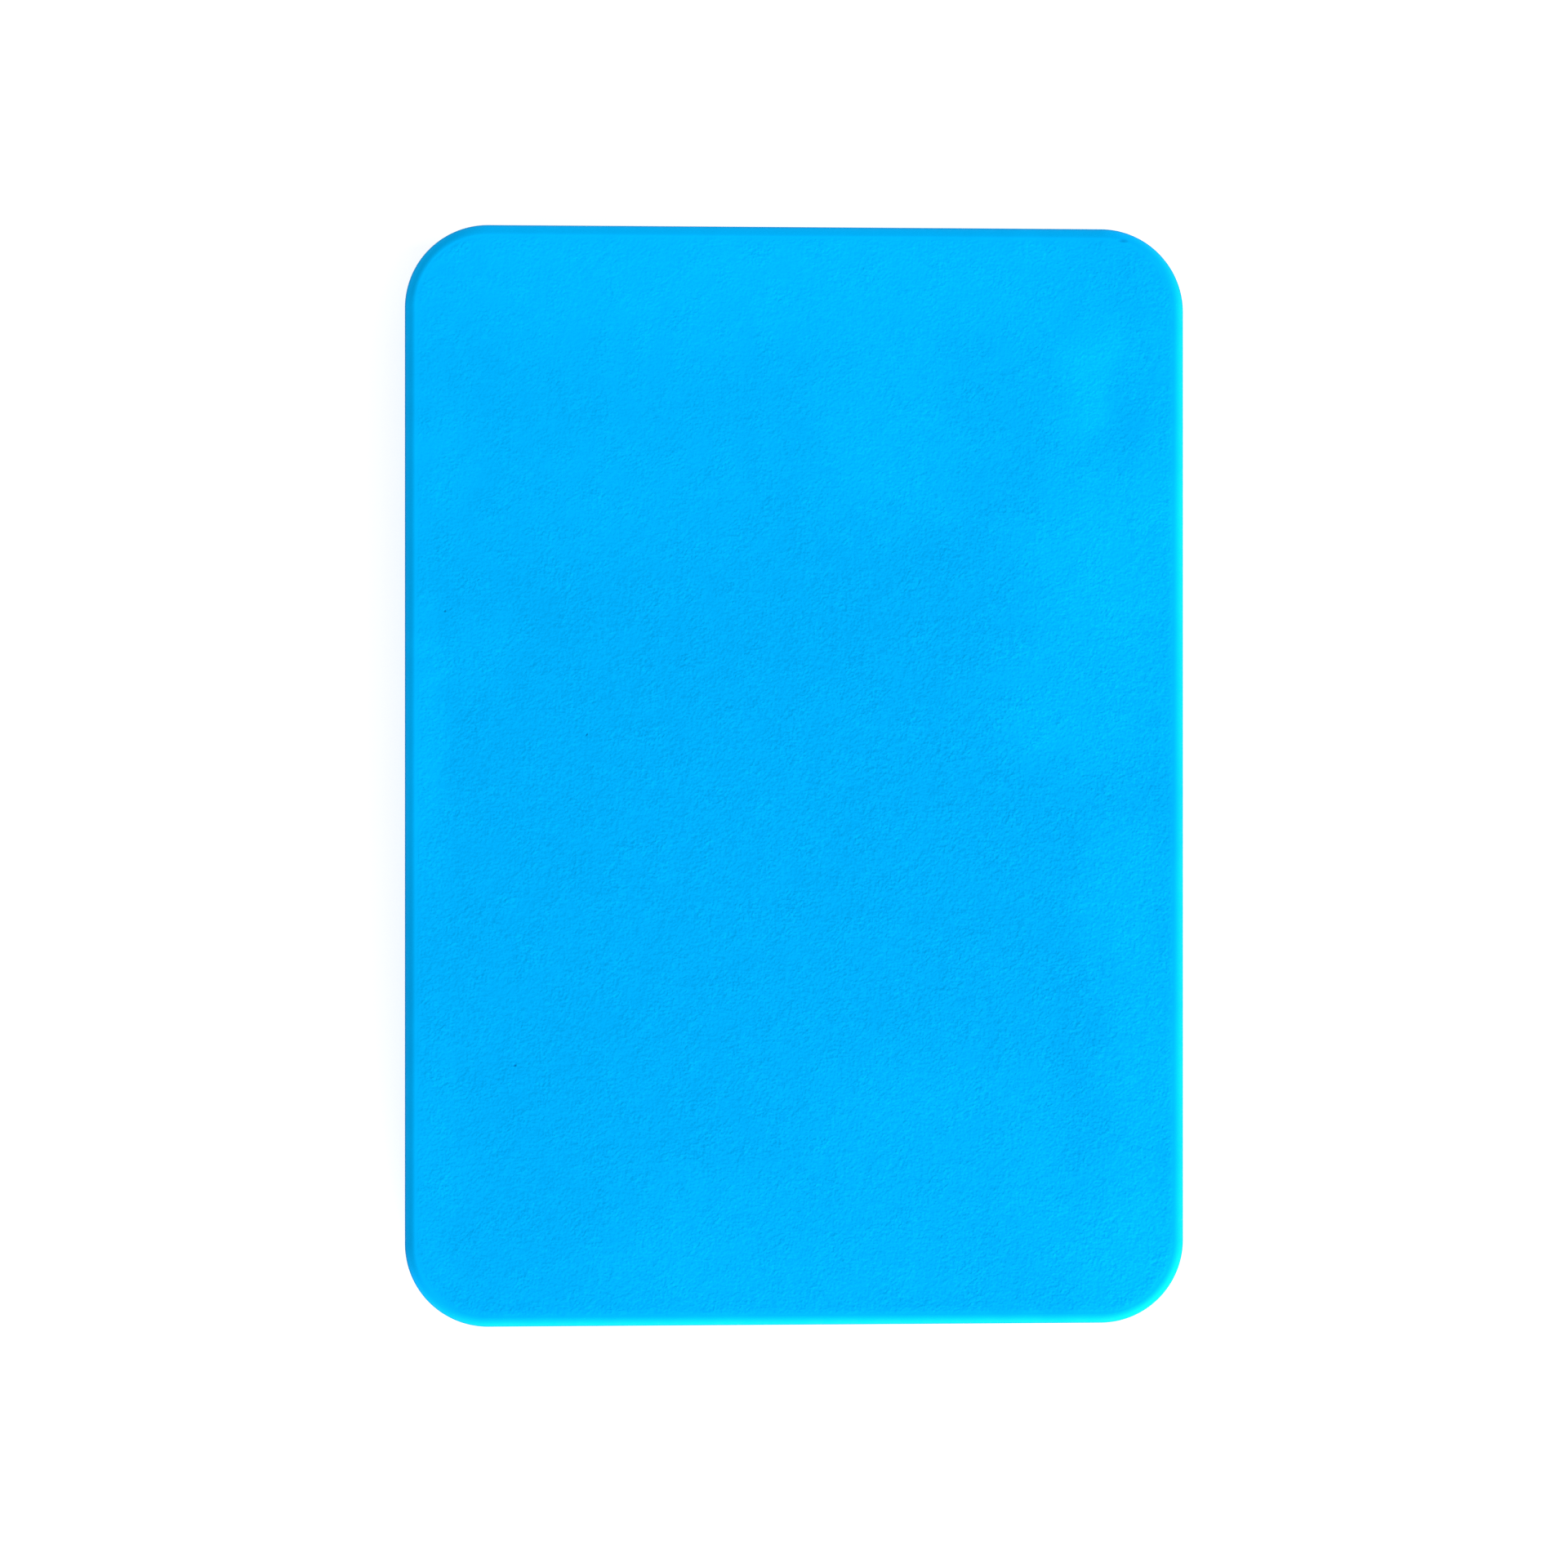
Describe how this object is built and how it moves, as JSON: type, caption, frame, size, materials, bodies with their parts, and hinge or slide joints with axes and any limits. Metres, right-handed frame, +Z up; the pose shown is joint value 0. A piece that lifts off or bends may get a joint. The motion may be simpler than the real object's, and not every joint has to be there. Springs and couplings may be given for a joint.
{
  "type": "kickboard float",
  "caption": "Rectangular foam swimming kickboard with rounded corners, a rounded rim and finely embossed faces. Its inner foam sheets are inferred, not seen.",
  "frame": {"origin": "centre of the flat bottom face, midway between the sides and midway between the ends", "axes": "+Z up through the thickness, out of the top face; +Y along the board's length; +X across its width"},
  "size_m": [0.291, 0.41, 0.03],
  "materials": {
    "skin_foam": "matte",
    "core_foam": "matte",
    "bond_film": "satin"
  },
  "bodies": {
    "root": {"top_skin": "skin_foam", "top_skin_bond": "bond_film", "upper_core_ply": "core_foam", "upper_core_bond": "bond_film", "middle_core_ply": "core_foam", "lower_core_bond": "bond_film", "lower_core_ply": "core_foam", "bottom_skin_bond": "bond_film", "bottom_skin": "skin_foam"}
  },
  "joints": []
}
